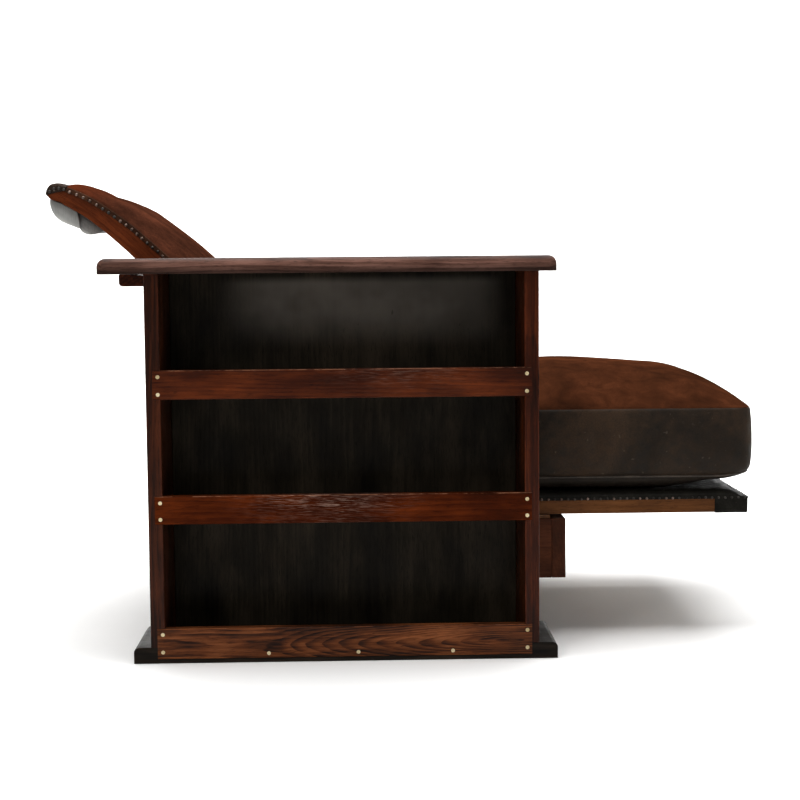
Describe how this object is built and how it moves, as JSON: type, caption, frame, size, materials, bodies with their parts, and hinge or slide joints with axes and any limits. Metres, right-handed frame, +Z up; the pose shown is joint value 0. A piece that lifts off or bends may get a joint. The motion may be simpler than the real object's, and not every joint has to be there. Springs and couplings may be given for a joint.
{
  "type": "mission reclining armchair",
  "caption": "Reclining armchair with open bookcases under broad arms, a sliding seat with a thick box cushion, and a hinged upholstered back that leans on a rear cross rail.",
  "frame": {"origin": "middle of the chair's footprint box on the floor, seat drawn out", "axes": "+X the way the sitter looks, +Y the sitter's left, +Z up"},
  "size_m": [1.1194, 0.83, 0.7159],
  "materials": {
    "wood_dark": "dark red-brown stain under worn varnish, satin",
    "wood_arm": "dark red-brown stain, polished varnish",
    "wood_rail": "red-brown stain, satin varnish",
    "wood_figured": "coarse open grain, brown stain, satin varnish",
    "wood_panel": "near-black stain, dull",
    "wood_seat": "walnut brown, satin varnish",
    "wood_waxed": "bare hardwood, waxed",
    "brass_screw": "pale worn brass",
    "hinge_steel": "darkened steel",
    "nail_steel": "dull silver nailheads, tarnished",
    "leather_black": "black, creased, low sheen",
    "leather_rust": "rust brown, worn, soft sheen",
    "suede_brown": "napped brown top, blackish brown sides",
    "canvas_grey": "pale grey canvas",
    "webbing_jute": "woven jute"
  },
  "bodies": {
    "frame": {"right_arm_board": "wood_arm", "right_rear_upright": "wood_dark", "right_front_upright": "wood_dark", "right_base_board": "wood_dark", "right_inner_panel": "wood_panel", "right_upper_shelf": "wood_panel", "right_middle_shelf": "wood_panel", "right_top_rail": "wood_rail", "right_middle_rail": "wood_rail", "right_bottom_rail": "wood_figured", "right_rail_screws": "brass_screw", "right_subframe_rail": "wood_dark", "right_slide_strip": "wood_waxed", "right_guide_cleat": "wood_waxed", "right_travel_stops": "wood_waxed", "left_arm_board": "wood_arm", "left_rear_upright": "wood_dark", "left_front_upright": "wood_dark", "left_base_board": "wood_dark", "left_inner_panel": "wood_panel", "left_upper_shelf": "wood_panel", "left_middle_shelf": "wood_panel", "left_top_rail": "wood_rail", "left_middle_rail": "wood_rail", "left_bottom_rail": "wood_figured", "left_rail_screws": "brass_screw", "left_subframe_rail": "wood_dark", "left_slide_strip": "wood_waxed", "left_guide_cleat": "wood_waxed", "left_travel_stops": "wood_waxed", "cross_rail_screws": "brass_screw", "rear_cross_rail": "wood_dark", "front_apron": "wood_dark", "rear_stretcher": "wood_dark"},
    "seat": {"right_seat_rail": "wood_seat", "left_seat_rail": "wood_seat", "right_hold_down": "wood_waxed", "left_hold_down": "wood_waxed", "seat_front_rail": "wood_seat", "seat_rear_rail": "wood_seat", "seat_webbing": "webbing_jute", "platform_leather": "leather_black", "front_rail_wrap": "leather_black", "seat_nails": "nail_steel", "seat_cushion": "suede_brown", "hinge_seat_leaves": "hinge_steel", "hinge_pins": "hinge_steel"},
    "back": {"right_back_stile": "wood_seat", "left_back_stile": "wood_seat", "back_top_rail": "wood_seat", "top_rail_wrap": "leather_black", "back_cross_rail": "wood_seat", "back_bottom_rail": "wood_seat", "back_webbing": "webbing_jute", "head_pad": "leather_rust", "main_pad": "leather_rust", "head_lining": "canvas_grey", "back_lining": "canvas_grey", "back_nails": "nail_steel", "hinge_back_leaves": "hinge_steel"}
  },
  "joints": [
    {"name": "seat_slide", "type": "slide", "parent": "frame", "child": "seat", "axis": [-1, 0, 0], "range_m": [0, 0.24]},
    {"name": "back_recline", "type": "hinge", "parent": "seat", "child": "back", "pos_m": [-0.02835, 0, 0.221], "axis": [0, 1, 0], "range_deg": [0, 26.5]}
  ],
  "couplings": [
    {"joint": "back_recline", "follows": "seat_slide", "rad_per_m": 1.92}
  ]
}
